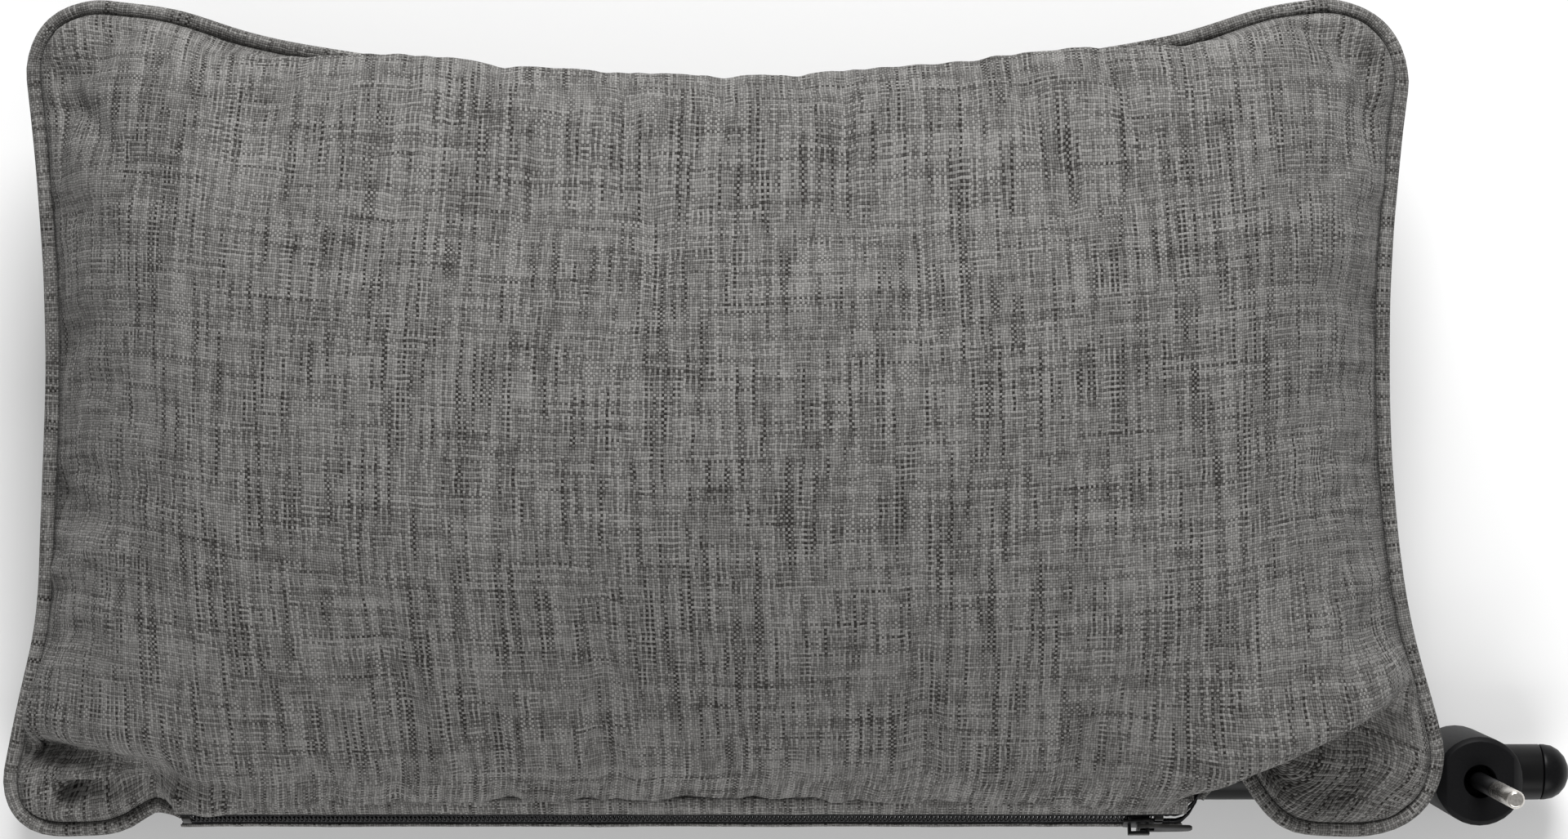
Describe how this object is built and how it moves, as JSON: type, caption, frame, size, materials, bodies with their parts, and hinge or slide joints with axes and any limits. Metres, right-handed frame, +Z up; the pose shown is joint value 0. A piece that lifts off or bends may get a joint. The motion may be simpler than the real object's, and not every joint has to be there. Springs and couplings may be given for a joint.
{
  "type": "camp head pillow",
  "caption": "Piped, zipped rectangular head pillow lying on its back on a round mounting bar, with a turning block and push-in pin near each end of the bar.",
  "frame": {"origin": "middle of the flat patch of the back that the pillow rests on, under the middle of the cover", "axes": "+X along the bar towards the end with the upright pin, +Y towards the pillow's top edge, +Z up out of its front"},
  "size_m": [0.4482, 0.233, 0.1052],
  "materials": {
    "cover_cloth": "matte",
    "casing_cloth": "matte",
    "fibre_filling": "matte",
    "zip_tape": "matte",
    "zip_coil": "satin",
    "zip_metal": "satin",
    "webbing": "matte",
    "bar_paint": "satin",
    "black_nylon": "satin",
    "pin_steel": "polished"
  },
  "bodies": {
    "cushion": {"front_panel": "cover_cloth", "back_panel": "cover_cloth", "piping_cover": "cover_cloth", "piping_cord": "casing_cloth", "inner_casing_front": "casing_cloth", "inner_casing_back": "casing_cloth", "filling": "fibre_filling", "zip_tape_front": "zip_tape", "zip_tape_back": "zip_tape", "zip_coil_front": "zip_coil", "zip_coil_back": "zip_coil", "zip_end_stop": "zip_metal", "zip_top_stop_front": "zip_metal", "zip_top_stop_back": "zip_metal", "bar_loop_right": "webbing", "bar_loop_left": "webbing"},
    "bar": {"bar_tube": "bar_paint", "end_cap_right": "black_nylon", "end_cap_left": "black_nylon"},
    "right_block": {"boss_right": "black_nylon", "pin_right": "pin_steel", "pin_sleeve_right": "black_nylon"},
    "left_block": {"boss_left": "black_nylon", "pin_left": "pin_steel", "pin_sleeve_left": "black_nylon"},
    "slider": {"zip_slider": "zip_metal"},
    "pull": {"zip_pull": "zip_metal"}
  },
  "joints": [
    {"name": "bar_slide", "type": "slide", "parent": "cushion", "child": "bar", "axis": [1, 0, 0], "range_m": [-0.008, 0.008]},
    {"name": "right_block_turn", "type": "hinge", "parent": "bar", "child": "right_block", "pos_m": [0.213, -0.1015, 0.0125], "axis": [1, 0, 0], "continuous": true},
    {"name": "left_block_turn", "type": "hinge", "parent": "bar", "child": "left_block", "pos_m": [-0.182, -0.1015, 0.0125], "axis": [1, 0, 0], "range_deg": [-180, 0]},
    {"name": "zip_slide", "type": "slide", "parent": "cushion", "child": "slider", "axis": [-1, 0, 0], "range_m": [0, 0.258]},
    {"name": "pull_turn", "type": "hinge", "parent": "slider", "child": "pull", "pos_m": [0.1162, -0.11357, 0.0492], "axis": [0, -0.3746, -0.9272], "range_deg": [0, 175]}
  ]
}
